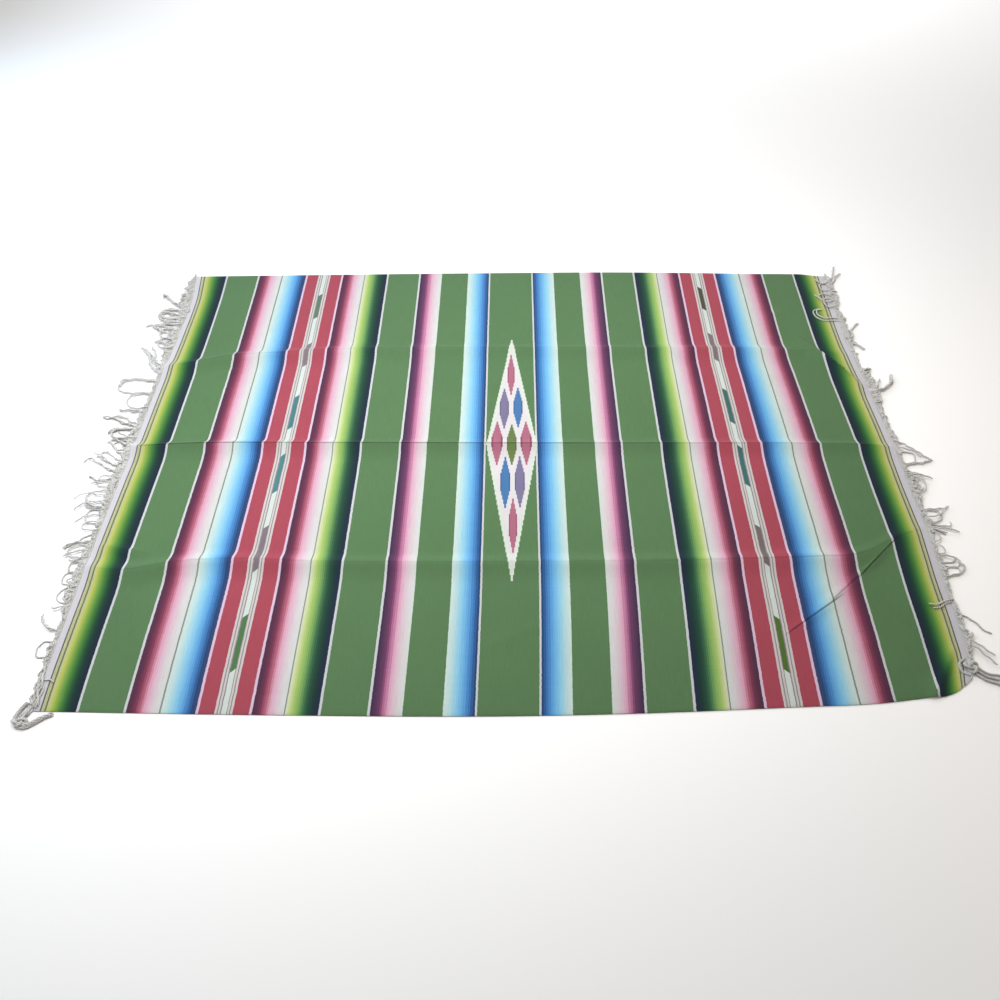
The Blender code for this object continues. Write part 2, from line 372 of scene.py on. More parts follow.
class Finish:
    """A new material and the nodes in it."""

    def __init__(self, name):
        self.material = bpy.data.materials.new(name)
        self.material.use_nodes = True
        self.tree = self.material.node_tree
        self.shader = self.tree.nodes["Principled BSDF"]

    def add(self, kind, settings=None, values=None, output=0):
        """Add a node, set it up, fill its sockets with values or links, and give an output."""
        node = self.tree.nodes.new(kind)
        for name, setting in (settings or {}).items():
            if name == "stops":
                lay_stops(node.color_ramp, setting)
            else:
                setattr(node, name, setting)
        for name, value in (values or {}).items():
            self.fill(node.inputs[name], value)
        return Socket(self, node.outputs[output])

    def fill(self, socket, value):
        if isinstance(value, Socket):
            self.tree.links.new(value.output, socket)
        else:
            socket.default_value = value

    def set(self, **values):
        """Fill the main shader's sockets, named with _ for each space."""
        for name, value in values.items():
            self.fill(self.shader.inputs[name.replace("_", " ")], value)

    def blend(self, share, low, high):
        """A colour that goes from low to high as share goes from 0 to 1."""
        settings = {"data_type": "RGBA"}
        values = {MIX_SHARE: share, MIX_LOW: low, MIX_HIGH: high}
        return self.add("ShaderNodeMix", settings, values, MIX_COLOUR)

    def shaded(self, colour, amount):
        """A colour made lighter or darker by an amount."""
        settings = {"operation": "SCALE"}
        return self.add("ShaderNodeVectorMath", settings, {"Vector": colour, "Scale": amount})

    def sides(self, name):
        """The two values of one of the piece's own maps."""
        values = self.add("ShaderNodeUVMap", {"uv_map": name})
        first = self.add("ShaderNodeSeparateXYZ", {}, {"Vector": values}, "X")
        return first, first.part("Y")

    def noise(self, first, second, scales):
        """Soft noise from two values, with how often it changes along each."""
        place = self.add("ShaderNodeCombineXYZ", {}, {"X": first * scales[0], "Y": second * scales[1]})
        values = {"Vector": place, "Scale": 1.0, "Detail": 2.0, "Roughness": NOISE_ROUGHNESS}
        return self.add("ShaderNodeTexNoise", {}, values, "Fac")

    def bump(self, height, distance, strength):
        values = {"Height": height, "Distance": distance, "Strength": strength}
        return self.add("ShaderNodeBump", {}, values)


NOISE_ROUGHNESS = 0.6
# Sockets of a Mix node that mixes colours.
MIX_SHARE = 0
MIX_LOW = 6
MIX_HIGH = 7
MIX_COLOUR = 2


def lay_stops(ramp, stops):
    """Give a ramp its stops, each colour held flat up to the next one."""
    ramp.interpolation = "CONSTANT"
    ramp.elements.remove(ramp.elements[-1])
    ramp.elements[0].position = stops[0][0]
    ramp.elements[0].color = stops[0][1]
    for position, colour in stops[1:]:
        ramp.elements.new(position).color = colour


def paint(red, green, blue):
    """A yarn's colour from its 0-255 values, as the shader takes it."""
    shares = [channel / 255 for channel in (red, green, blue)]
    linear = [s / 12.92 if s <= 0.04045 else ((s + 0.055) / 1.055) ** 2.4 for s in shares]
    return (*linear, 1.0)


def yarns(*colours):
    return tuple(paint(*colour) for colour in colours)


# ---------------------------------------------------------------------------- the striped weave

CUT_MAP = "cut"
FOLD_SHADE_MAP = "folds"
# How far behind its crest a painted shade line is centred, and how far it reaches either way.
FOLD_BEHIND = -0.0002
FOLD_REACH = 0.0030
WRINKLE_BEHIND = 0.0004
WRINKLE_REACH = 0.0034
FOLD_SHADE_DARKNESS = 0.66
# A wrinkle's painted shade line fades over a share of its length at both ends: 1 / (2 * WRINKLE_FADE).
WRINKLE_FADE = 3.0
FOLD_PATCHES = (9.0, 9.0)
PATCHY_LEAST = 0.3
PATCHY_SPREAD = 1.2

GREEN = paint(100, 137, 94)
RED = paint(184, 83, 99)
WHITE = paint(222, 224, 228)
LILAC_WHITE = paint(236, 210, 236)
COLUMN_WHITE = paint(228, 238, 233)
LINE_WHITE = paint(226, 216, 216)
THIN_GREY = paint(150, 152, 152)
LIME_CREAM = paint(206, 212, 162)
OLIVE_LINE = paint(124, 122, 98)

# Yarns of the shaded bands. The plum ones come in two kinds, which share their light half.
PINK_TO_WHITE = yarns(
    (237, 177, 202), (237, 193, 215), (235, 206, 220), (234, 216, 225), (234, 225, 229),
    (232, 231, 232), (229, 234, 231),
)
PURPLE_TO_WHITE = yarns(
    (78, 54, 86), (88, 60, 91), (100, 63, 97), (114, 68, 105), (146, 82, 122), (188, 116, 156),
    (208, 141, 178),
) + PINK_TO_WHITE
WINE_TO_WHITE = yarns(
    (92, 56, 78), (98, 56, 80), (114, 58, 84), (135, 64, 91), (163, 85, 111), (190, 106, 132),
    (217, 146, 168),
) + PINK_TO_WHITE
DEEP_NAVY = paint(66, 76, 122)
NAVY_TO_WHITE = yarns(
    (46, 80, 128), (58, 103, 163), (70, 130, 197), (84, 150, 219), (104, 174, 235), (118, 189, 244),
    (131, 203, 249), (148, 214, 252), (165, 223, 249), (181, 230, 246), (199, 236, 242),
    (213, 239, 240), (221, 242, 235),
)
NAVY_TO_LIME = yarns(
    (40, 52, 76), (37, 54, 68), (35, 60, 64), (36, 68, 62), (40, 79, 63), (48, 92, 68), (64, 111, 78),
    (86, 136, 86), (114, 163, 98), (138, 184, 104), (156, 198, 110), (174, 207, 117), (196, 218, 138),
)
NAVY_TO_CREAM = NAVY_TO_LIME + (paint(214, 230, 168), paint(226, 234, 196))
NAVY_TO_YELLOW = yarns(
    (36, 50, 68), (34, 52, 64), (34, 57, 60), (34, 66, 58), (38, 80, 58), (48, 98, 60), (62, 118, 62),
    (80, 138, 66), (102, 156, 72), (128, 174, 80), (156, 188, 86), (184, 200, 96), (206, 210, 116),
)

# The order of the stripes from the panel's middle out to either end. edge is a stripe's outer
# edge, and tones are its yarns from its inner side to its outer side, in equal shares.
Stripe = namedtuple("Stripe", "edge tones")
STRIPES = table_of(
    Stripe,
    (0.0695, (GREEN,)),
    (0.0745, (WHITE,)),
    (0.1470, NAVY_TO_WHITE),
    (0.2375, (GREEN,)),
    (0.3105, PURPLE_TO_WHITE[::-1]),
    (0.3160, (WHITE,)),
    (0.4210, (GREEN,)),
    (0.4270, (WHITE,)),
    (0.5025, NAVY_TO_CREAM),
    (0.5050, (THIN_GREY,)),
    (0.5785, WINE_TO_WHITE[::-1]),
    (0.5845, (LILAC_WHITE,)),
    (0.6225, (RED,)),
    (0.6275, (LINE_WHITE,)),
    (0.6300, (THIN_GREY,)),
    (0.6345, (LINE_WHITE,)),
    (0.6375, (THIN_GREY,)),
    (0.6480, (COLUMN_WHITE,)),
    (0.6510, (THIN_GREY,)),
    (0.6555, (LINE_WHITE,)),
    (0.6585, (THIN_GREY,)),
    (0.6640, (LINE_WHITE,)),
    (0.7010, (RED,)),
    (0.7070, (LILAC_WHITE,)),
    (0.7130, (DEEP_NAVY,)),
    (0.7870, NAVY_TO_WHITE),
    (0.7900, (THIN_GREY,)),
    (0.8660, WINE_TO_WHITE[::-1]),
    (0.8720, (WHITE,)),
    (0.9740, (GREEN,)),
    (0.9800, (WHITE,)),
    (1.0450, NAVY_TO_YELLOW),
    (1.0500, (LIME_CREAM,)),
    (1.0540, (OLIVE_LINE,)),
    (1.0600, (LIME_CREAM,)),
)
RAMP_STOPS = 30

# Short coloured dashes down the middle of the red bands, between v = start and v = end.
DASH_INNER = 0.6368
DASH_OUTER = 0.6488
DASH_SLANT = 0.9
DASH_REACH = 0.72
Dash = namedtuple("Dash", "start end colour")
LEFT_DASHES = table_of(
    Dash,
    (-0.678, -0.538, paint(92, 132, 86)),
    (-0.414, -0.278, paint(140, 126, 136)),
    (-0.166, -0.034, paint(88, 140, 146)),
    (0.066, 0.194, paint(78, 136, 142)),
    (0.322, 0.426, paint(146, 130, 138)),
    (0.550, 0.666, paint(108, 132, 112)),
)
RIGHT_DASHES = table_of(
    Dash,
    (-0.692, -0.556, paint(92, 122, 56)),
    (-0.410, -0.286, paint(130, 116, 116)),
    (-0.150, -0.014, paint(70, 118, 118)),
    (0.082, 0.218, paint(74, 116, 112)),
    (0.338, 0.466, paint(138, 122, 128)),
    (0.582, 0.694, paint(84, 86, 66)),
)

# The middle diamond: its border, its ground and the lozenges in it. All are stepped, because
# each group of picks turns back at its own warp.
DIAMOND_U = 0.003
DIAMOND_HALF_WIDTH = 0.0725
DIAMOND_HALF_LENGTH = 0.4460
PICK_GROUP = 0.0027
DIAMOND_GROUND = paint(238, 234, 238)
DIAMOND_RIM = paint(232, 242, 228)
RIM_FROM = 0.90
ROSE = paint(192, 120, 144)
ROSE_DARK = paint(146, 58, 88)
VIOLET = paint(140, 132, 168)
VIOLET_DARK = paint(76, 66, 112)
BLUE = paint(84, 136, 192)
BLUE_DARK = paint(46, 66, 120)
OLIVE = paint(118, 140, 82)
OLIVE_DARK = paint(62, 74, 44)
# Each lozenge is a rhomb with its two side points cut off, darker down its sides and in streaks.
SIDE_CUT = 0.74
SLIVER_FROM = 0.80
SLIVER_DARKNESS = 0.6
PLY = 0.0032
STREAK_FROM = 0.6
STREAK_DARKNESS = 0.225
Lozenge = namedtuple("Lozenge", "u v half_width half_length colour dark")
LOZENGES = table_of(
    Lozenge,
    (0.001, 0.2815, 0.0112, 0.0920, ROSE, ROSE_DARK),
    (-0.019, 0.1435, 0.0135, 0.0860, VIOLET, VIOLET_DARK),
    (0.0215, 0.1475, 0.0130, 0.0860, BLUE, BLUE_DARK),
    (-0.039, 0.0105, 0.0150, 0.0860, ROSE, ROSE_DARK),
    (0.003, 0.0050, 0.0138, 0.0800, OLIVE, OLIVE_DARK),
    (0.044, 0.0105, 0.0150, 0.0860, ROSE, ROSE_DARK),
    (-0.015, -0.1290, 0.0135, 0.0940, BLUE, BLUE_DARK),
    (0.025, -0.1270, 0.0135, 0.0940, VIOLET, VIOLET_DARK),
    (0.006, -0.2705, 0.0112, 0.0940, ROSE, ROSE_DARK),
)

# The weave: warps lie along u, a rib apart, and the picks of weft cross and hide them.
RIB = 0.0027
PICK = 0.0013
RIB_SHARE = 0.6
PICK_SHARE = 0.4
# The weft is beaten down unevenly, so the edges of the stripes waver.
BEAT_SCALES = (4.0, 150.0)
BEAT_SPREAD = 0.0030
# The dye's strength, and how much it varies from yarn to yarn and over patches. The weave's hollows are
# painted darker than its tops, as painted shade of its relief.
DYE_SHARE = 0.50
YARN_SCALES = (700.0, 25.0)
YARN_SPREAD = 0.20
PATCH_SCALES = (5.0, 5.0)
PATCH_SPREAD = 0.08
HOLLOW_SHADE_SHARE = 0.9
RELIEF_SHADE_SPREAD = 0.13


def stripe_starts():
    """Each yarn of the draft with the place where it starts, from the middle outwards."""
    starts = []
    inner = 0.0
    for stripe in STRIPES:
        for index, tone in enumerate(stripe.tones):
            starts.append((inner + (stripe.edge - inner) * index / len(stripe.tones), tone))
        inner = stripe.edge
    return starts


def stripe_colours(finish, out):
    """The draft's colour at a distance out from the middle, through as few ramps as hold it."""
    starts = stripe_starts()
    colour = None
    for first in range(0, len(starts), RAMP_STOPS):
        group = starts[first : first + RAMP_STOPS]
        low = group[0][0]
        high = starts[min(first + RAMP_STOPS, len(starts) - 1)][0] + PICK
        stops = [((start - low) / (high - low), tone) for start, tone in group]
        share = (out - low) / (high - low)
        ramp = finish.add("ShaderNodeValToRGB", {"stops": stops}, {"Fac": share}, "Color")
        colour = ramp if colour is None else finish.blend(out > low, colour, ramp)
    return colour


def dash_share(v):
    """Where v lies on the ramp of the dashes."""
    return (v + DASH_REACH) / (2 * DASH_REACH)


def dash_colours(finish, along, dashes):
    """White with dashes, read along v."""
    stops = [(0.0, COLUMN_WHITE)]
    for dash in dashes:
        stops += [(dash_share(dash.start), dash.colour), (dash_share(dash.end), COLUMN_WHITE)]
    values = {"Fac": dash_share(along)}
    return finish.add("ShaderNodeValToRGB", {"stops": stops}, values, "Color")


def with_dashes(finish, colour, u, v, out):
    slanted = v + (out - (DASH_INNER + DASH_OUTER) / 2) * DASH_SLANT
    left = dash_colours(finish, slanted, LEFT_DASHES)
    right = dash_colours(finish, slanted, RIGHT_DASHES)
    column = (out > DASH_INNER) * (out < DASH_OUTER)
    return finish.blend(column, colour, finish.blend(u > 0.0, left, right))


def with_diamond(finish, colour, u, v):
    """Lay the stepped diamond and its lozenges over the stripes."""

    def stepped(middle):
        return abs(((u - middle) / PICK_GROUP).floor() + 0.5) * PICK_GROUP

    edge = stepped(DIAMOND_U) / DIAMOND_HALF_WIDTH + abs(v) / DIAMOND_HALF_LENGTH
    ground = finish.blend(edge > RIM_FROM, DIAMOND_GROUND, DIAMOND_RIM)
    colour = finish.blend(edge < 1.0, colour, ground)
    streak = (u / PLY - (u / PLY).floor() > STREAK_FROM) * STREAK_DARKNESS
    for lozenge in LOZENGES:
        aside = stepped(lozenge.u) / lozenge.half_width
        edge = aside * SIDE_CUT + abs(v - lozenge.v) / lozenge.half_length
        inside = (edge < 1.0) * (aside < 1.0)
        darkness = streak + (aside > SLIVER_FROM) * SLIVER_DARKNESS
        yarn = finish.blend(darkness, lozenge.colour, lozenge.dark)
        colour = finish.blend(inside, colour, yarn)
    return colour


def weave_relief(u, v):
    """Rounded ribs over the warps, with the picks crossing every other rib half a step on."""
    rib = v / RIB
    half_step = (rib / 2.0 - (rib / 2.0).floor() > 0.5) * 0.5
    ribs = abs((rib * math.pi).sine())
    picks = abs(((u / PICK + half_step) * math.pi).sine())
    return ribs * RIB_SHARE + picks * PICK_SHARE


def painted_fold_shade(finish, u, v):
    """How dark the cloth is painted along its creases and wrinkles: painted shade where the folds shadow
    themselves.
    """
    offset, mark = finish.sides(FOLD_SHADE_MAP)
    patchy = finish.noise(u, v, FOLD_PATCHES) * PATCHY_SPREAD + PATCHY_LEAST
    line = (1.0 - abs(offset - FOLD_BEHIND) / FOLD_REACH).limited() * mark
    for wrinkle in WRINKLES:
        if wrinkle.mark > 0:
            share, aside = wrinkle_place(wrinkle, u, v)
            ends = (1.0 - abs(share - 0.5) * 2.0).limited()
            near = (1.0 - abs(aside - WRINKLE_BEHIND) / WRINKLE_REACH).limited()
            line = line + near * (ends * WRINKLE_FADE).limited() * wrinkle.mark
    return (line * patchy).limited()


def striped_weave():
    finish = Finish("striped_weave")
    u, v = finish.sides(CUT_MAP)
    uneven = u + (finish.noise(u, v, BEAT_SCALES) - 0.5) * BEAT_SPREAD
    out = abs(uneven)
    colour = stripe_colours(finish, out)
    colour = with_dashes(finish, colour, u, v, out)
    colour = with_diamond(finish, colour, uneven, v)
    yarn = finish.noise(u, v, YARN_SCALES) * YARN_SPREAD
    patches = finish.noise(u, v, PATCH_SCALES) * PATCH_SPREAD
    relief = weave_relief(u, v)
    # Painted shade: the relief term darkens the weave's hollows.
    shade = (DYE_SHARE + yarn + patches) * (HOLLOW_SHADE_SHARE + relief * RELIEF_SHADE_SPREAD)
    # Painted shade along the crests of the creases and wrinkles.
    lit = 1.0 - painted_fold_shade(finish, u, v) * FOLD_SHADE_DARKNESS
    finish.set(
        Base_Color=finish.shaded(colour, shade * lit),
        Roughness=0.88,
        Sheen_Weight=0.06,
        Sheen_Roughness=0.5,
        Sheen_Tint=(0.85, 0.92, 1.0, 1.0),
        Specular_IOR_Level=0.12,
        Normal=finish.bump(relief, distance=0.0004, strength=0.6),
    )
    return finish.material


# The heading starts with two more weft stripes, and is plain beyond them.
CREAM_EDGE = 1.0605
DARK_EDGE = 1.0640
DARK_LINE = paint(104, 92, 108)
HEADING_DULL = paint(196, 194, 202)
HEADING_BRIGHT = paint(236, 234, 242)
HEADING_YARNS = (500.0, 300.0)
# The heading's hollows are painted darker than the tops of its weave: painted shade of its relief.
HEADING_SHADE = 0.60
HEADING_RELIEF_SHADE = 0.16
# What the heading's cotton and the fringe's have in common.
COTTON_SURFACE = {"Sheen_Weight": 0.2, "Specular_IOR_Level": 0.2}
COTTON_BUMP = {"distance": 0.0006, "strength": 0.8}


def heading_cotton():
    finish = Finish("heading_cotton")
    u, v = finish.sides(CUT_MAP)
    yarn = finish.noise(u, v, HEADING_YARNS)
    relief = weave_relief(u / 2, v)
    colour = finish.blend(yarn, HEADING_DULL, HEADING_BRIGHT)
    colour = finish.blend(abs(u) < CREAM_EDGE, colour, LIME_CREAM)
    colour = finish.blend((abs(u) > CREAM_EDGE) * (abs(u) < DARK_EDGE), colour, DARK_LINE)
    # Painted shade: the weave's relief darkens the heading's hollows.
    finish.set(
        Base_Color=finish.shaded(colour, HEADING_SHADE + relief * HEADING_RELIEF_SHADE),
        Roughness=0.9,
        Normal=finish.bump(relief, **COTTON_BUMP),
        **COTTON_SURFACE,
    )
    return finish.material


LAY_MAP = "lay"
TWIST_PITCH = 0.006
TWISTED_YARNS = 2
# The cord is darker in the grooves between its plies and lighter on their tops: painted shade and
# highlight.
CORD_GROOVE_SHADE = paint(178, 177, 175)
CORD_PLY_HIGHLIGHT = paint(228, 227, 225)
FLUFF_SCALES = (400.0, 9.0)
CORD_SHADE = 0.64
FLUFF_SPREAD = 0.24


def fringe_cotton():
    """Twisted cotton cord: along the strand in metres and once round it are its map's sides."""
    finish = Finish("fringe_cotton")
    along, around = finish.sides(LAY_MAP)
    twist = along / TWIST_PITCH + around * TWISTED_YARNS
    plies = abs((twist * math.pi).sine())
    fluff = finish.noise(along, around, FLUFF_SCALES)
    # Painted shade in the grooves between the plies, painted highlight on their tops.
    colour = finish.blend(plies, CORD_GROOVE_SHADE, CORD_PLY_HIGHLIGHT)
    finish.set(
        Base_Color=finish.shaded(colour, CORD_SHADE + fluff * FLUFF_SPREAD),
        Roughness=0.92,
        Normal=finish.bump(plies, **COTTON_BUMP),
        **COTTON_SURFACE,
    )
    return finish.material


# ---------------------------------------------------------------------------- cloth pieces


# The widest steps between the points of the cloth: along the length, closer where the right end
# is wrinkled, and across the width, closer on the flanks of the creases.
PLAIN_COLUMN_STEP = 0.014
WRINKLED_COLUMN_STEP = 0.0062
WRINKLED_FROM = 0.60
FRONT_ROW_STEP = 0.0085
BACK_ROW_STEP = 0.013
FRONT_FLANK_STEP = 0.0035
BACK_FLANK_STEP = 0.0025
HEADING_COLUMNS = 7
ROUNDING = 1e-6
# The bevel round a sheet's rim, as a share of its thickness, and the least angle it rounds.
RIM_SHARE = 0.3
RIM_ANGLE = 60


def link_piece(name, mesh, material):
    mesh.materials.append(material)
    piece = bpy.data.objects.new(name, mesh)
    bpy.context.scene.collection.objects.link(piece)
    return piece


def stations(spans):
    """Places along a line: each span is (start, end, widest step), with the last end added."""
    places = []
    for start, end, step in spans:
        count = max(1, math.ceil((end - start) / step - ROUNDING))
        places += [start + (end - start) * index / count for index in range(count)]
    return np.array(places + [spans[-1][1]])


def panel_columns():
    plain = (-HALF_LENGTH, WRINKLED_FROM, PLAIN_COLUMN_STEP)
    wrinkled = (WRINKLED_FROM, HALF_LENGTH, WRINKLED_COLUMN_STEP)
    return stations((plain, wrinkled))


def panel_rows():
    """Rows close together on the creases, and closer in the wrinkled front half."""
    spans = []
    low = -HALF_WIDTH
    for crease in reversed(CREASES):
        foot = crease.v - crease.front_run
        spans.append((low, foot, FRONT_ROW_STEP if low < 0 else BACK_ROW_STEP))
        spans.append((foot, crease.v, FRONT_FLANK_STEP))
        low = crease.v + crease.back_run
        spans.append((crease.v, low, BACK_FLANK_STEP))
    spans.append((low, HALF_WIDTH, BACK_ROW_STEP))
    return stations(spans)


def add_map(mesh, name, corners, first, second):
    """A UV map from two values at each point."""
    layer = mesh.uv_layers.new(name=name)
    values = np.stack([first, second], axis=1)[corners]
    layer.uv.foreach_set("vector", values.astype(np.float32).ravel())


def sheet_mesh(name, columns):
    """An open grid of the cloth's points, with maps of u, v and of the creases' painted shade lines."""
    rows = panel_rows()
    u, v = (grid.ravel() for grid in np.meshgrid(columns, rows, indexing="ij"))
    v = follow_creases(u, v)
    points = np.stack([*lie(u, v), rise(u, v)], axis=1)
    deep = len(rows)
    first = (np.arange(len(columns) - 1)[:, None] * deep + np.arange(deep - 1)).ravel()
    faces = np.stack([first, first + deep, first + deep + 1, first + 1], axis=1)
    mesh = bpy.data.meshes.new(name)
    mesh.from_pydata(points.tolist(), [], faces.tolist())
    add_map(mesh, CUT_MAP, faces.ravel(), u, v)
    add_map(mesh, FOLD_SHADE_MAP, faces.ravel(), *crease_shade_lines(u, v))
    return mesh


def apply_modifiers(piece):
    bpy.ops.object.select_all(action="DESELECT")
    piece.select_set(True)
    bpy.context.view_layer.objects.active = piece
    for modifier in list(piece.modifiers):
        bpy.ops.object.modifier_apply(modifier=modifier.name)


def thicken(piece, thickness):
    """Give an open sheet its thickness upwards and round its rim."""
    wall = piece.modifiers.new("wall", "SOLIDIFY")
    wall.thickness = thickness
    wall.offset = 1.0
    wall.use_even_offset = True
    soft_rim = piece.modifiers.new("rim", "BEVEL")
    soft_rim.width = thickness * RIM_SHARE
    soft_rim.segments = 2
    soft_rim.limit_method = "ANGLE"
    soft_rim.angle_limit = math.radians(RIM_ANGLE)
    apply_modifiers(piece)
    piece.data.shade_smooth()


def lay_cloth(name, columns, thickness, material):
    """A sheet of the cloth over some columns, with its thickness."""
    piece = link_piece(name, sheet_mesh(name, columns), material)
    thicken(piece, thickness)
    return piece


def make_heading(side_name, side, material):
    inner = side * (HALF_LENGTH + SEAM_GAP)
    outer = side * (HALF_LENGTH + SEAM_GAP + HEADING_WIDTH)
    columns = np.linspace(min(inner, outer), max(inner, outer), HEADING_COLUMNS)
    return lay_cloth(side_name + "_heading_band", columns, HEADING_THICKNESS, material)


# ---------------------------------------------------------------------------- fringe

STRAND_SIDES = 6
STRAND_RADIUS = 0.0021
CURL_RADIUS = 0.0019
STRAND_STEP = 0.005
CURL_STEP = 0.0035
ROOT_SPACING = 0.0040
ROOT_INSET = 0.004
ROOT_FALL = 0.024
FRINGE_FRONT = {"left": -HALF_WIDTH + 0.006, "right": -0.729}
FRINGE_BACK = HALF_WIDTH - 0.004
# Strands on the floor lie in layers, and each differs a little in thickness.
STRAND_LAYERS = 4
LAYER_HEIGHT = 0.0022
THICKNESS_SHARES = (0.85, 1.15)
TIP_SHARE = 0.6
# Strands are thicker towards the back, by a share that is reached at v = THICKENED_BY.
BACK_THICKENING = 0.45
THICKENED_BY = 0.25
# The lengths of a yarn's waves, how they spread, how far from the root they are full, and how
# far they push each kind of strand aside.
WAVE_LENGTHS = (0.028, 0.055)
WAVE_SPREAD = (0.8, 1.25)
WAVE_FADE = 0.02
STRAND_WAVE = 0.0025
TWIN_WAVE = 0.005
LOOP_WAVE = 0.002
TANGLE_WAVE = 0.0015
GATHER_WAVE = 0.001
# A long strand's bow, and its length, as shares of the straight way from its root to its tip.
BOW_SHARE = 0.42
BOWED_LENGTH = 1.15
# Curls of the tangled base: their reach as a share of the base's width, their run along the
# heading, the least width, and how far a root is moved either way.
CURL_REACH = (0.5, 1.0)
CURL_RUN = (0.007, 0.018)
CURL_SHARES = (1.0, 0.7, 0.4)
LEAST_TANGLE = 0.004
ROOT_SHIFT = 0.0012

# Long strands. Each leaves its heading at root_v and ends at tip_v, reach past the heading.
# tip_turn is the way its tip points: degrees from straight out, towards the back.
Strand = namedtuple("Strand", "root_v reach tip_v tip_turn")
LONG_STRANDS = {
    "left": table_of(
        Strand,
        (0.600, 0.098, 0.651, -110), (0.615, 0.076, 0.640, 30), (0.585, 0.080, 0.575, -80),
        (0.560, 0.088, 0.560, -60), (0.545, 0.070, 0.590, 60), (0.530, 0.082, 0.560, 100),
        (0.520, 0.116, 0.503, -20), (0.505, 0.110, 0.508, 0), (0.500, 0.092, 0.500, 20),
        (0.470, 0.075, 0.500, 50), (0.460, 0.055, 0.430, -60), (0.420, 0.062, 0.425, -100),
        (0.300, 0.097, 0.402, 20), (0.315, 0.068, 0.412, 40), (0.330, 0.085, 0.385, 0),
        (0.262, 0.114, 0.235, -100), (0.134, 0.082, 0.136, 0), (0.074, 0.124, 0.110, 0),
        (0.085, 0.100, 0.112, -20), (0.060, 0.085, 0.045, -70), (0.040, 0.080, 0.075, 60),
        (0.020, 0.070, 0.020, -30), (0.000, 0.076, 0.035, 20), (-0.030, 0.078, 0.020, 40),
        (-0.079, 0.105, -0.027, 10), (-0.070, 0.092, -0.035, 30), (-0.100, 0.123, -0.060, -80),
        (-0.095, 0.105, -0.055, 10), (-0.058, 0.084, -0.021, 0), (-0.120, 0.088, -0.108, 40),
        (-0.135, 0.070, -0.140, -50), (-0.180, 0.102, -0.190, -60), (-0.200, 0.084, -0.228, -90),
        (-0.215, 0.060, -0.190, 100), (-0.240, 0.072, -0.265, -60), (-0.300, 0.081, -0.340, -10),
        (-0.325, 0.072, -0.346, -60), (-0.350, 0.065, -0.370, -30), (-0.370, 0.045, -0.378, 60),
        (-0.510, 0.045, -0.515, 30), (-0.580, 0.055, -0.533, 90),
    ),
    "right": table_of(
        Strand,
        (0.742, 0.052, 0.792, 50), (0.727, 0.062, 0.753, 20), (0.545, 0.014, 0.548, 0),
        (0.478, 0.060, 0.505, 30), (0.432, 0.048, 0.384, -40), (0.425, 0.030, 0.410, -60),
        (0.378, 0.018, 0.362, -45), (0.300, 0.032, 0.290, -60), (0.285, 0.028, 0.300, 60),
        (0.213, 0.080, 0.271, 90), (0.222, 0.040, 0.250, 70), (0.009, 0.092, -0.058, -30),
        (-0.083, 0.090, -0.058, 10), (-0.017, 0.060, -0.050, -60), (-0.118, 0.068, -0.123, -20),
        (-0.133, 0.040, -0.130, -70), (-0.178, 0.038, -0.150, 60), (-0.250, 0.082, -0.213, 20),
        (-0.280, 0.064, -0.222, 60), (-0.314, 0.080, -0.295, -30), (-0.300, 0.068, -0.262, 80),
        (-0.322, 0.045, -0.300, -40), (-0.409, 0.056, -0.398, -80), (-0.431, 0.050, -0.372, 60),
        (-0.449, 0.060, -0.376, 80), (-0.475, 0.064, -0.388, 90), (-0.592, 0.068, -0.578, -35),
        (-0.667, 0.055, -0.635, -50), (-0.664, 0.022, -0.576, 80), (-0.680, 0.052, -0.657, -40),
    ),
}

# How many of the long strands have a second one twined round them.
TWIN_SHARE = {"left": 0.7, "right": 0.15}

# The way round a loop, as shares of its reach and of its bulge along the heading.
LOOP_ROUND = ((0.5, 1.0), (0.9, 0.7), (1.0, 0.0), (0.9, -0.7), (0.5, -1.0))
BULGE_SHARE = 1.15
LEAST_BULGE = 0.008

# Strands whose two ends both stay in the fringe, as a loop that bulges out to reach.
StrandLoop = namedtuple("StrandLoop", "root_v reach end_v")
LOOPS = {
    "left": table_of(
        StrandLoop,
        (0.590, 0.085, 0.555), (0.545, 0.060, 0.520), (0.500, 0.058, 0.455), (0.450, 0.052, 0.410),
        (0.265, 0.118, 0.215), (0.203, 0.067, 0.148), (0.060, 0.076, 0.030), (0.020, 0.060, -0.010),
        (-0.110, 0.060, -0.145), (-0.165, 0.070, -0.215), (-0.225, 0.052, -0.265),
        (-0.265, 0.046, -0.290), (-0.340, 0.058, -0.372), (-0.388, 0.042, -0.415),
        (-0.420, 0.048, -0.452), (-0.465, 0.044, -0.500), (-0.610, 0.042, -0.646),
    ),
    "right": table_of(
        StrandLoop,
        (0.484, 0.026, 0.454), (0.310, 0.026, 0.280), (0.245, 0.030, 0.222), (0.190, 0.022, 0.165),
        (-0.033, 0.048, -0.072), (-0.118, 0.044, -0.183), (-0.256, 0.052, -0.291),
        (-0.333, 0.026, -0.361), (-0.376, 0.024, -0.404), (-0.444, 0.050, -0.472),
    ),
}

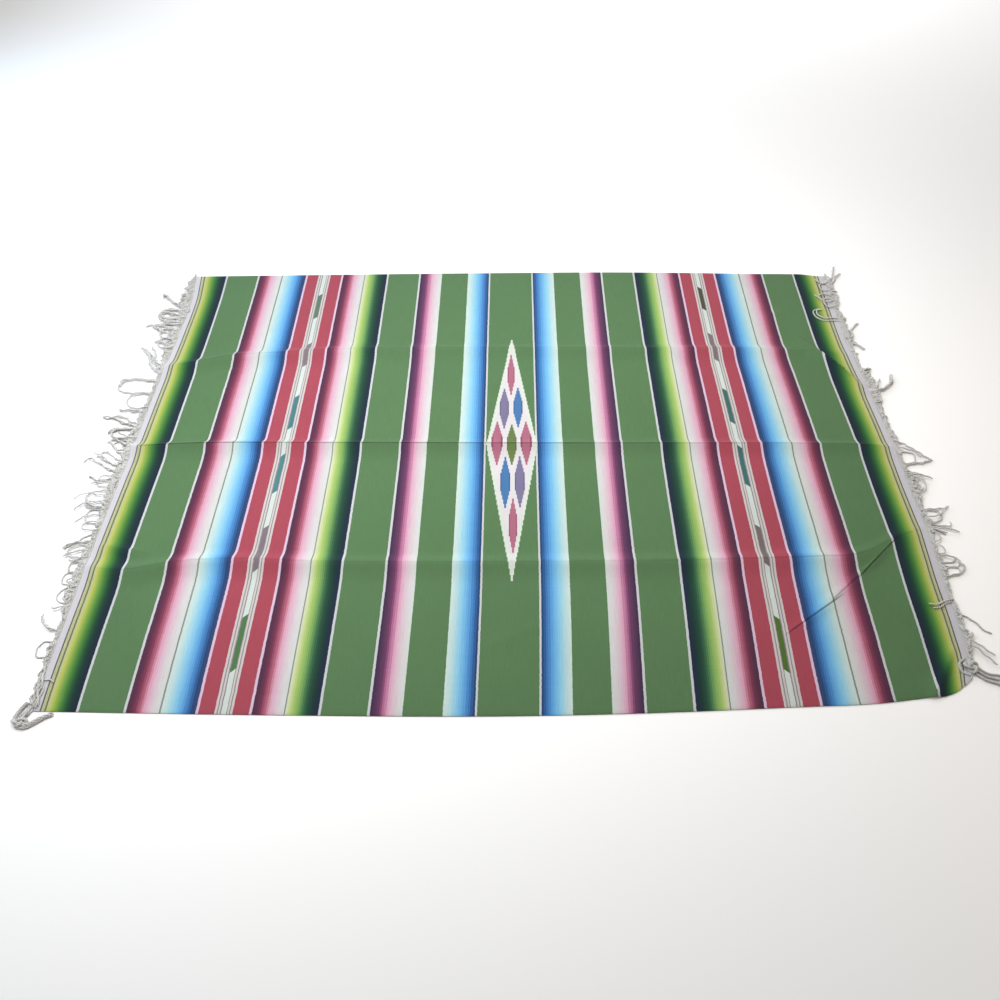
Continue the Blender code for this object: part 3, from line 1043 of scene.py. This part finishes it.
# Strands that fell back onto the cloth, through points u, v on it.
FALLEN_STRANDS = {
    "left": (
        ((-1.086, -0.696), (-1.074, -0.704), (-1.062, -0.703), (-1.052, -0.710)),
        ((-1.086, -0.668), (-1.081, -0.690), (-1.085, -0.712), (-1.080, -0.736), (-1.084, -0.760)),
        ((-1.083, -0.690), (-1.077, -0.706), (-1.082, -0.728), (-1.075, -0.748), (-1.079, -0.770)),
        ((-1.080, -0.700), (-1.074, -0.718), (-1.078, -0.738), (-1.071, -0.756), (-1.074, -0.772)),
        ((-1.076, -0.712), (-1.070, -0.730), (-1.074, -0.748), (-1.069, -0.766)),
        ((-1.086, 0.610), (-1.078, 0.600), (-1.076, 0.588), (-1.086, 0.578)),
    ),
    "right": (
        ((1.092, 0.536), (1.056, 0.540), (1.030, 0.536), (1.008, 0.552), (1.006, 0.580), (1.030, 0.594)),
        ((1.092, 0.548), (1.062, 0.552), (1.036, 0.548), (1.016, 0.562), (1.020, 0.586), (1.038, 0.590)),
        ((1.086, 0.612), (1.062, 0.606), (1.052, 0.622), (1.056, 0.646), (1.074, 0.655)),
        ((1.086, 0.640), (1.060, 0.632), (1.044, 0.640), (1.038, 0.660), (1.060, 0.672), (1.086, 0.664)),
        ((1.088, 0.654), (1.064, 0.650), (1.040, 0.655), (1.028, 0.668)),
        ((1.088, 0.700), (1.066, 0.694), (1.056, 0.710), (1.064, 0.732), (1.086, 0.738)),
        ((1.088, 0.742), (1.072, 0.730), (1.058, 0.738), (1.046, 0.752)),
        ((1.086, -0.552), (1.060, -0.545), (1.038, -0.546), (1.020, -0.538)),
        ((1.086, -0.558), (1.066, -0.552), (1.046, -0.555), (1.030, -0.552)),
    ),
}

# Fallen strands lie over one another. In radii: the height of the first one's middle over the
# cloth, and the step up to each of the next ones, until the layers start again.
FALLEN_FIRST = 0.8
FALLEN_STEP = 0.55
FALLEN_LAYERS = 4

# Thick strands at the corners that lie on the floor, through points x, y, with their radius.
CornerStrand = namedtuple("CornerStrand", "radius points")
CORNER_STRANDS = {
    "left": table_of(
        CornerStrand,
        (0.0046, ((-1.093, -0.752), (-1.104, -0.772), (-1.108, -0.792), (-1.098, -0.805))),
        (0.0050, ((-1.098, -0.800), (-1.074, -0.802), (-1.052, -0.789), (-1.026, -0.777))),
        (0.0036, ((-1.102, -0.806), (-1.080, -0.809), (-1.058, -0.797), (-1.040, -0.784))),
    ),
    "right": table_of(
        CornerStrand,
        (0.0034, ((1.062, -0.668), (1.080, -0.682), (1.100, -0.689), (1.128, -0.694))),
        (0.0034, ((1.058, -0.676), (1.078, -0.692), (1.098, -0.699), (1.118, -0.712))),
        (0.0028, ((1.066, -0.660), (1.086, -0.676), (1.110, -0.680), (1.134, -0.688))),
        (0.0030, ((1.046, -0.640), (1.030, -0.652), (1.030, -0.672), (1.046, -0.682))),
    ),
}
# Thick strands are laid from a few plies. A ply's radius and the pitch of its turns are shares of
# the strand's radius.
ROPE_PLIES = 4
PLY_SHARE = 0.46
ROPE_PITCH = 9.0
ROPE_STEP = 0.0028
# The selvedge warps past the fringe's front end are gathered from the heading into the knot.
# They end within a distance of its middle along x and y, and bow out by the way.
GATHERED_WARPS = 9
GATHER_FROM = {"left": -0.748, "right": -0.716}
GATHER_TO = -HALF_WIDTH + 0.003
GATHER_REACH_X = 0.006
GATHER_REACH_Y = 0.005
GATHER_BOW = (-0.001, 0.004)

# The corner knots as they are tied: middle, and sizes along x, y and z. The cord's radius is a
# share of the knot's height.
CORD_SHARE = 0.27
KNOT_POINTS = 60
KnotForm = namedtuple("KnotForm", "x y long wide high")
KNOT_FORMS = {
    "left": KnotForm(-1.094, -0.797, 0.038, 0.024, 0.013),
    "right": KnotForm(1.052, -0.661, 0.036, 0.034, 0.014),
}


class StrandBundle:
    """Many strands of cord, joined in one mesh."""

    def __init__(self, name):
        self.name = name
        self.points = []
        self.faces = []
        self.lays = []

    def add(self, path, radius):
        """Add a closed strand along a path of points, thinner at its tip."""
        steps, left, up = path_axes(path)
        angles = np.arange(STRAND_SIDES) * 2 * math.pi / STRAND_SIDES
        widths = np.full(len(path), radius)
        widths[-1] *= TIP_SHARE
        rings = path[:, None] + widths[:, None, None] * (
            left[:, None] * np.cos(angles)[None, :, None]
            + up[:, None] * np.sin(angles)[None, :, None]
        )
        first = len(self.points)
        start_tip = first + len(path) * STRAND_SIDES
        end_tip = start_tip + 1
        self.points += rings.reshape(-1, 3).tolist()
        self.points.append((path[0] - steps[0] * radius * 0.5).tolist())
        self.points.append((path[-1] + steps[-1] * radius * 0.5).tolist())
        walked = distances(path) * (STRAND_RADIUS / radius)
        last = first + (len(path) - 1) * STRAND_SIDES
        for side in range(STRAND_SIDES):
            after = (side + 1) % STRAND_SIDES
            low, high = side / STRAND_SIDES, (side + 1) / STRAND_SIDES
            for ring in range(len(path) - 1):
                here = first + ring * STRAND_SIDES
                there = here + STRAND_SIDES
                near, far = walked[ring], walked[ring + 1]
                self.faces.append((here + side, here + after, there + after, there + side))
                self.lays += [(near, low), (near, high), (far, high), (far, low)]
            self.faces.append((start_tip, first + after, first + side))
            self.lays += [(walked[0], low), (walked[0], high), (walked[0], low)]
            self.faces.append((end_tip, last + side, last + after))
            self.lays += [(walked[-1], low), (walked[-1], low), (walked[-1], high)]

    def add_rope(self, path, radius):
        """Add a cord of a few strands twisted round one another along a path of points."""
        _, left, up = path_axes(path)
        walked = distances(path)
        for ply in range(ROPE_PLIES):
            turn = 2 * math.pi * (walked / (radius * ROPE_PITCH) + ply / ROPE_PLIES)
            aside = left * np.cos(turn)[:, None] + up * np.sin(turn)[:, None]
            self.add(path + aside * radius * (1 - PLY_SHARE), radius * PLY_SHARE)

    def finish(self, material):
        mesh = bpy.data.meshes.new(self.name)
        mesh.from_pydata(self.points, [], self.faces)
        layer = mesh.uv_layers.new(name=LAY_MAP)
        layer.uv.foreach_set("vector", np.array(self.lays, dtype=np.float32).ravel())
        mesh.shade_smooth()
        return link_piece(self.name, mesh, material)


def directions(path):
    """The way a path goes at each of its points."""
    steps = np.gradient(path, axis=0)
    return steps / np.linalg.norm(steps, axis=1)[:, None]


def path_axes(path):
    """The way a path goes at each of its points, the way to its left, and the way up."""
    steps = directions(path)
    left = np.cross((0.0, 0.0, 1.0), steps)
    left /= np.linalg.norm(left, axis=1)[:, None]
    return steps, left, np.cross(steps, left)


def distances(path):
    """How far along a path each of its points is."""
    return np.concatenate([[0.0], np.cumsum(np.linalg.norm(np.diff(path, axis=0), axis=1))])


def smooth_route(knots, step=STRAND_STEP):
    """A plan through a few points, in even steps along a smooth curve."""
    knots = np.asarray(knots, dtype=float)
    walked = distances(knots)
    slopes = np.gradient(knots, walked, axis=0)
    places = np.linspace(0, walked[-1], max(4, int(walked[-1] / step)) + 1)
    low = np.clip(np.searchsorted(walked, places) - 1, 0, len(knots) - 2)
    span = (walked[low + 1] - walked[low])[:, None]
    share = (places[:, None] - walked[low][:, None]) / span
    return curve(knots, slopes, low, share, span)


def wavy(plan, rng, most):
    """Yarn never lies straight: push a plan from side to side by up to a distance."""
    walked = distances(plan)
    steps = directions(plan)
    aside = np.stack([-steps[:, 1], steps[:, 0]], axis=1)
    push = np.zeros(len(plan))
    for wave in WAVE_LENGTHS:
        phase = rng.uniform(0, 2 * math.pi)
        push += np.sin(walked * 2 * math.pi / (wave * rng.uniform(*WAVE_SPREAD)) + phase)
    fade = np.clip(walked / WAVE_FADE, 0, 1)
    return plan + aside * (push * fade * most / 2)[:, None]


def heading_edge(side, v):
    """The point near a heading's outer edge at v, where strands leave it."""
    u = np.array([side * (HALF_LENGTH + HEADING_WIDTH - ROOT_INSET)])
    x, y = lie(u, np.array([v]))
    z = rise(u, np.array([v])) + HEADING_THICKNESS
    return np.array([x[0], y[0], z[0]])


def settle(plan, root_height, radius, layer):
    """Heights for a strand's plan: down off the heading, then along the floor."""
    share = np.clip(distances(plan) / ROOT_FALL, 0, 1)
    fallen = ease(share)
    rest_height = radius + LAYER_HEIGHT * layer
    return np.maximum(root_height * (1 - fallen) + rest_height * fallen, radius)


def strand_plan(root, side, strand):
    """From its root a strand bows out, then turns to end the way its tip points."""
    tip = np.array([root[0] + side * strand.reach, strand.tip_v + SHIFT_Y])
    turn = math.radians(strand.tip_turn)
    tip_way = np.array([side * math.cos(turn), math.sin(turn)])
    pull = np.linalg.norm(tip - root[:2]) * BOW_SHARE
    handles = (root[:2], root[:2] + (side * pull, 0.0), tip - tip_way * pull, tip)
    count = max(5, int(pull / BOW_SHARE * BOWED_LENGTH / STRAND_STEP))
    share = np.linspace(0, 1, count + 1)[:, None]
    rest = 1 - share
    weights = (rest**3, 3 * rest**2 * share, 3 * rest * share**2, share**3)
    return sum(weight * handle for weight, handle in zip(weights, handles))


def loop_plan(root, side, loop, end):
    """Out from one root, round and back in to another."""
    middle = (root[:2] + end[:2]) / 2
    bulge = max(abs(root[1] - end[1]) / 2 * BULGE_SHARE, LEAST_BULGE)
    bends = [middle + (side * loop.reach * out, bulge * along) for out, along in LOOP_ROUND]
    return smooth_route([root[:2], *bends, end[:2]])


def curl_plan(root, side, width, rng):
    """A short curl: out from the root, along the heading and part of the way back in.

    Its offsets are shares of the reach out and of the run along.
    """
    reach = width * rng.uniform(*CURL_REACH)
    run = rng.uniform(*CURL_RUN) * rng.choice((-1, 1))
    offsets = (
        (0.0, 0.0),
        (0.6, 0.15),
        (1.0, 0.45),
        (rng.uniform(0.6, 1.0), 0.8),
        (rng.uniform(0.2, 0.9), rng.uniform(0.9, 1.2)),
    )
    knots = [root[:2] + (side * reach * out, run * along) for out, along in offsets]
    return smooth_route(knots, CURL_STEP)


def lay_strand(bundle, plan, root_height, wave, radius, rng):
    """Settle a plan onto the floor or the strands already there, and add it to the bundle."""
    plan = wavy(plan, rng, wave)
    layer = rng.integers(0, STRAND_LAYERS)
    radius *= rng.uniform(*THICKNESS_SHARES)
    heights = settle(plan, root_height, radius, layer)
    bundle.add(np.column_stack([plan, heights]), radius)


def add_tangle(bundle, side_name, side, rng):
    """The matted base of the fringe: three curls from each root."""
    for v in np.arange(FRINGE_FRONT[side_name], FRINGE_BACK, ROOT_SPACING):
        root = heading_edge(side, v + rng.uniform(-ROOT_SHIFT, ROOT_SHIFT))
        width = float(between(TANGLES, "v", side_name, np.array([v]))[0])
        for share in CURL_SHARES:
            plan = curl_plan(root, side, ROOT_INSET + max(width, LEAST_TANGLE) * share, rng)
            lay_strand(bundle, plan, root[2], TANGLE_WAVE, CURL_RADIUS, rng)


def add_corner(bundle, side_name, side, rng):
    """Thick strands round the corner knot, and the warps that run into it."""
    shift = np.array([SHIFT_X, SHIFT_Y])
    for strand in CORNER_STRANDS[side_name]:
        plan = smooth_route(np.array(strand.points) + shift, ROPE_STEP)
        heights = np.full(len(plan), strand.radius)
        bundle.add_rope(np.column_stack([plan, heights]), strand.radius)
    knot = KNOT_FORMS[side_name]
    for v in np.linspace(GATHER_TO, GATHER_FROM[side_name], GATHERED_WARPS):
        root = heading_edge(side, v)
        end_x = knot.x + rng.uniform(-GATHER_REACH_X, GATHER_REACH_X)
        end_y = knot.y + rng.uniform(-GATHER_REACH_Y, GATHER_REACH_Y)
        end = shift + (end_x, end_y)
        bow = (root[:2] + end) / 2 + (side * rng.uniform(*GATHER_BOW), 0.0)
        plan = smooth_route([root[:2], bow, end], CURL_STEP)
        lay_strand(bundle, plan, root[2], GATHER_WAVE, CURL_RADIUS, rng)


def add_fallen(bundle, side_name):
    """Strands that lie on the cloth: they follow its form."""
    for index, knots in enumerate(FALLEN_STRANDS[side_name]):
        route = smooth_route(knots)
        x, y = lie(route[:, 0], route[:, 1])
        clearance = STRAND_RADIUS * (FALLEN_FIRST + index % FALLEN_LAYERS * FALLEN_STEP)
        z = rise(route[:, 0], route[:, 1]) + HEADING_THICKNESS + clearance
        bundle.add(np.column_stack([x, y, z]), STRAND_RADIUS)


def strand_radius(v):
    """The strands are thicker towards the back, where more warps were twisted into each."""
    return STRAND_RADIUS * (1 + BACK_THICKENING * min(max(v / THICKENED_BY, 0), 1))


def make_fringe(side_name, side, material, rng):
    bundle = StrandBundle(side_name + "_fringe")
    add_tangle(bundle, side_name, side, rng)
    for strand in LONG_STRANDS[side_name]:
        root = heading_edge(side, strand.root_v)
        plan = strand_plan(root, side, strand)
        radius = strand_radius(strand.root_v)
        lay_strand(bundle, plan, root[2], STRAND_WAVE, radius, rng)
        if rng.random() < TWIN_SHARE[side_name]:
            lay_strand(bundle, plan, root[2], TWIN_WAVE, radius, rng)
    for loop in LOOPS[side_name]:
        root = heading_edge(side, loop.root_v)
        end = heading_edge(side, loop.end_v)
        plan = loop_plan(root, side, loop, end)
        lay_strand(bundle, plan, root[2], LOOP_WAVE, strand_radius(loop.root_v), rng)
    add_corner(bundle, side_name, side, rng)
    add_fallen(bundle, side_name)
    return bundle.finish(material)


def make_knot(side_name, material):
    """An overhand knot of thick cord, pulled down tight."""
    form = KNOT_FORMS[side_name]
    turn = np.linspace(0, 2 * math.pi, KNOT_POINTS + 1)[:-1]
    path = np.stack(
        [
            np.sin(turn) + 2 * np.sin(2 * turn),
            np.cos(turn) - 2 * np.cos(2 * turn),
            -np.sin(3 * turn),
        ],
        axis=1,
    )
    radius = form.high * CORD_SHARE
    path /= np.abs(path).max(axis=0)
    half = np.array([form.long, form.wide, form.high]) / 2 - radius
    middle = np.array([form.x + SHIFT_X, form.y + SHIFT_Y, form.high / 2])
    path = path * half + middle
    bundle = StrandBundle("front_" + side_name + "_corner_knot")
    bundle.add_rope(np.concatenate([path, path[:2]]), radius)
    return bundle.finish(material)


# ---------------------------------------------------------------------------- stage


FLOOR_SIZE = 30.0
FLOOR_HEIGHT = -0.0003
FLOOR_COLOUR = paint(244, 244, 245)
SKY_COLOUR = (1.0, 0.988, 0.965, 1.0)
SKY_STRENGTH = 0.31

# Rectangular lights of size (width, depth), each turned to face its target.
Softbox = namedtuple("Softbox", "name place target size power colour")
SOFTBOXES = table_of(
    Softbox,
    ("overhead", (-0.42, 0.12, 1.5), (-0.38, 0.02, 0), (2.6, 0.5), 37, (1.0, 0.99, 0.96)),
    ("window", (-2.6, 1.6, 1.6), (-0.4, 0.1, 0), (1.6, 1.6), 40, (0.66, 0.83, 1.0)),
    ("lamp", (2.6, -0.6, 2.0), (0.4, 0, 0), (1.4, 1.4), 12, (1.0, 0.80, 0.56)),
    ("backdrop", (0.6, 4.2, 2.2), (0.6, 3.6, 0), (5.0, 2.0), 110, (1.0, 0.99, 0.98)),
)


def add_floor():
    bpy.ops.object.select_all(action="DESELECT")
    bpy.ops.mesh.primitive_plane_add(size=FLOOR_SIZE, location=(0, 0, FLOOR_HEIGHT))
    floor = bpy.context.object
    floor.name = "floor"
    finish = Finish("pale_floor")
    finish.set(Base_Color=FLOOR_COLOUR, Roughness=0.8)
    floor.data.materials.append(finish.material)


def add_softbox(box):
    data = bpy.data.lights.new(box.name, "AREA")
    data.shape = "RECTANGLE"
    data.size, data.size_y = box.size
    data.energy = box.power
    data.color = box.colour
    light = bpy.data.objects.new(box.name, data)
    light.location = box.place
    facing = Vector(box.target) - Vector(box.place)
    light.rotation_euler = facing.to_track_quat("-Z", "Y").to_euler()
    light.visible_camera = False
    bpy.context.scene.collection.objects.link(light)


def light_studio():
    world = bpy.data.worlds.new("studio")
    bpy.context.scene.world = world
    world.use_nodes = True
    background = world.node_tree.nodes["Background"]
    background.inputs["Color"].default_value = SKY_COLOUR
    background.inputs["Strength"].default_value = SKY_STRENGTH
    for box in SOFTBOXES:
        add_softbox(box)
    bpy.context.scene.view_settings.view_transform = "Standard"


# ---------------------------------------------------------------------------- assembly


RANDOM_SEED = 7


def main():
    add_camera()
    light_studio()
    add_floor()
    rng = np.random.default_rng(RANDOM_SEED)

    web_finish = striped_weave()
    heading_finish = heading_cotton()
    fringe_finish = fringe_cotton()

    web = lay_cloth("striped_web", panel_columns(), CLOTH_THICKNESS, web_finish)
    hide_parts("web")
    trims = []
    for side_name, side in (("left", -1), ("right", 1)):
        heading = make_heading(side_name, side, heading_finish)
        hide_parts("heading_" + side_name)
        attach(heading, "root")
        fringe = make_fringe(side_name, side, fringe_finish, rng)
        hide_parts("fringe_" + side_name)
        trims.append(fringe)
        knot = make_knot(side_name, fringe_finish)
        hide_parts("knot_front_" + side_name)
        trims.append(knot)
    for trim in trims:
        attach(trim, "root")
    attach(web, "root")


main()
